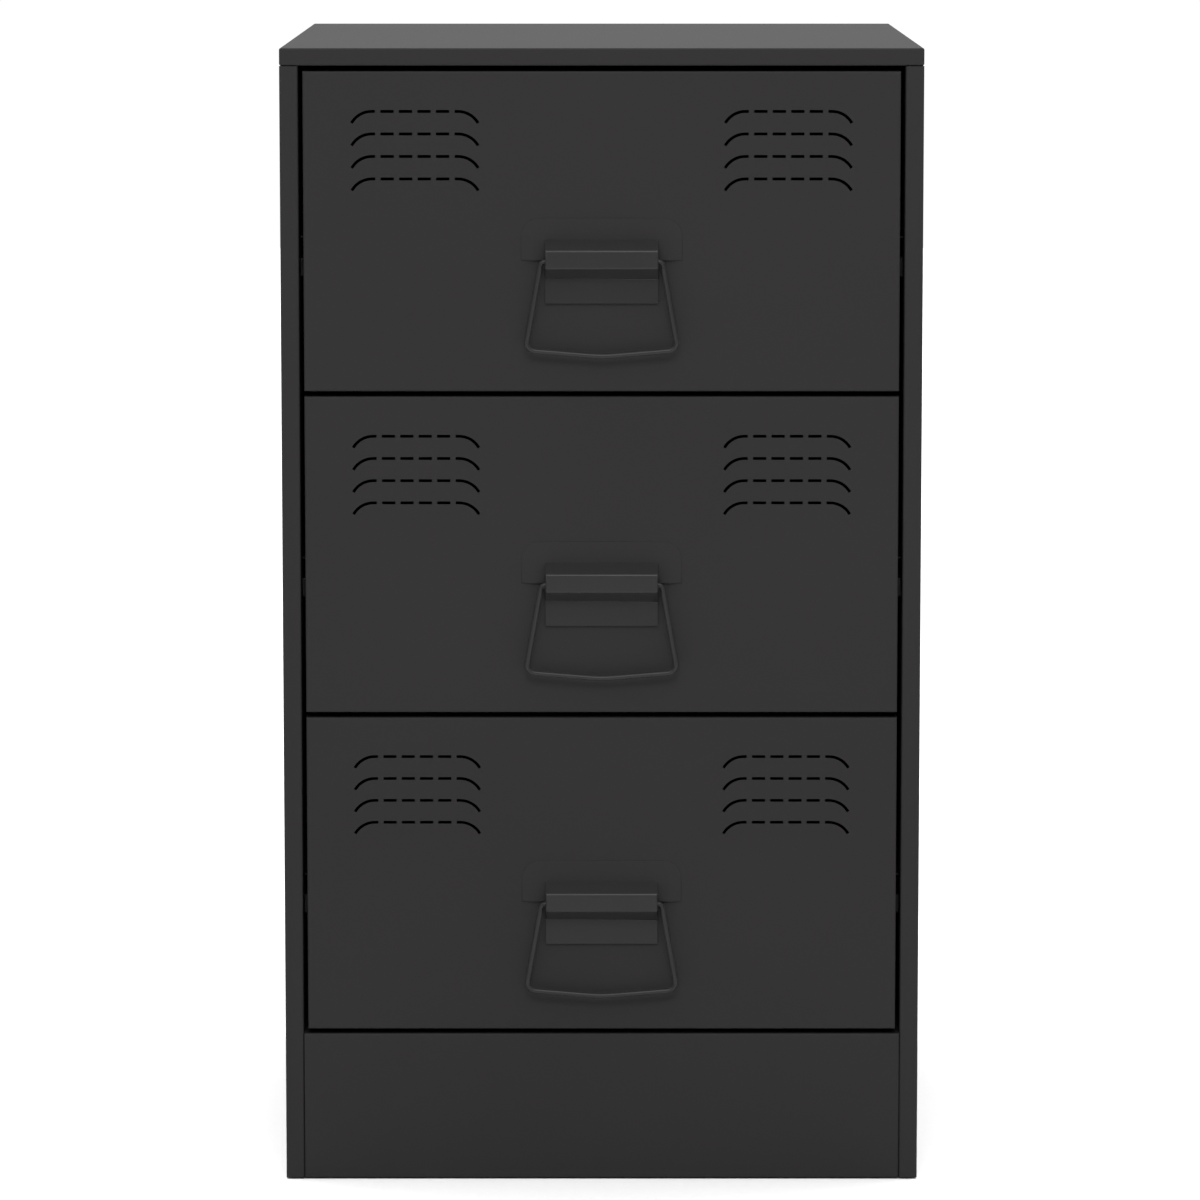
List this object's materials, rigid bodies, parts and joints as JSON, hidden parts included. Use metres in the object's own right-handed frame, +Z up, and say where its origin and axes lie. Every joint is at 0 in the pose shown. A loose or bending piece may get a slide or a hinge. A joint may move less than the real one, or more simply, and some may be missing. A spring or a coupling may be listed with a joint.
{
  "type": "drawer cabinet",
  "caption": "Narrow upright steel chest of stacked drawers on a closed plinth, with vent slots and a hanging wire bail on every drawer front.",
  "frame": {"origin": "middle of the footprint on the floor, halfway between the handles' fronts and the rear edge of the top", "axes": "+Z up, the drawer fronts face -Y, +X to the right of someone facing the chest"},
  "size_m": [0.345, 0.4, 0.617],
  "materials": {
    "sheet_coat": "fine-textured anthracite powder coat, satin",
    "handle_coat": "smooth anthracite powder coat, semi-gloss",
    "runner_steel": "bright zinc plate",
    "screw_steel": "black zinc plate",
    "glide_plastic": "natural nylon, matt",
    "bumper_rubber": "matt black rubber"
  },
  "bodies": {
    "case": {"back_panel": "sheet_coat", "base_panel": "sheet_coat", "case_runner_glides": "glide_plastic", "case_runner_lower_left": "runner_steel", "case_runner_lower_right": "runner_steel", "case_runner_middle_left": "runner_steel", "case_runner_middle_right": "runner_steel", "case_runner_upper_left": "runner_steel", "case_runner_upper_right": "runner_steel", "case_screws": "screw_steel", "foot_glides": "glide_plastic", "plinth_panel": "sheet_coat", "side_panel_left": "sheet_coat", "side_panel_right": "sheet_coat", "top_panel": "sheet_coat"},
    "drawer_lower": {"drawer_back_lower": "sheet_coat", "drawer_bumpers_lower": "bumper_rubber", "drawer_floor_lower": "sheet_coat", "drawer_front_lower": "sheet_coat", "drawer_glides_lower": "glide_plastic", "drawer_runner_lower_left": "runner_steel", "drawer_runner_lower_right": "runner_steel", "drawer_screws_lower": "screw_steel", "drawer_side_lower_left": "sheet_coat", "drawer_side_lower_right": "sheet_coat", "hinge_bracket_lower": "handle_coat"},
    "handle_lower": {"bail_lower": "handle_coat"},
    "drawer_middle": {"drawer_back_middle": "sheet_coat", "drawer_bumpers_middle": "bumper_rubber", "drawer_floor_middle": "sheet_coat", "drawer_front_middle": "sheet_coat", "drawer_glides_middle": "glide_plastic", "drawer_runner_middle_left": "runner_steel", "drawer_runner_middle_right": "runner_steel", "drawer_screws_middle": "screw_steel", "drawer_side_middle_left": "sheet_coat", "drawer_side_middle_right": "sheet_coat", "hinge_bracket_middle": "handle_coat"},
    "handle_middle": {"bail_middle": "handle_coat"},
    "drawer_upper": {"drawer_back_upper": "sheet_coat", "drawer_bumpers_upper": "bumper_rubber", "drawer_floor_upper": "sheet_coat", "drawer_front_upper": "sheet_coat", "drawer_glides_upper": "glide_plastic", "drawer_runner_upper_left": "runner_steel", "drawer_runner_upper_right": "runner_steel", "drawer_screws_upper": "screw_steel", "drawer_side_upper_left": "sheet_coat", "drawer_side_upper_right": "sheet_coat", "hinge_bracket_upper": "handle_coat"},
    "handle_upper": {"bail_upper": "handle_coat"}
  },
  "joints": [
    {"name": "drawer_lower_slide", "type": "slide", "parent": "case", "child": "drawer_lower", "axis": [0, -1, 0], "range_m": [0, 0.28]},
    {"name": "handle_lower_hinge", "type": "hinge", "parent": "drawer_lower", "child": "handle_lower", "pos_m": [0, -0.1956, 0.1539], "axis": [-1, 0, 0], "range_deg": [0, 165]},
    {"name": "drawer_middle_slide", "type": "slide", "parent": "case", "child": "drawer_middle", "axis": [0, -1, 0], "range_m": [0, 0.28]},
    {"name": "handle_middle_hinge", "type": "hinge", "parent": "drawer_middle", "child": "handle_middle", "pos_m": [0, -0.1956, 0.3285], "axis": [-1, 0, 0], "range_deg": [0, 165]},
    {"name": "drawer_upper_slide", "type": "slide", "parent": "case", "child": "drawer_upper", "axis": [0, -1, 0], "range_m": [0, 0.28]},
    {"name": "handle_upper_hinge", "type": "hinge", "parent": "drawer_upper", "child": "handle_upper", "pos_m": [0, -0.1956, 0.5031], "axis": [-1, 0, 0], "range_deg": [0, 165]}
  ]
}
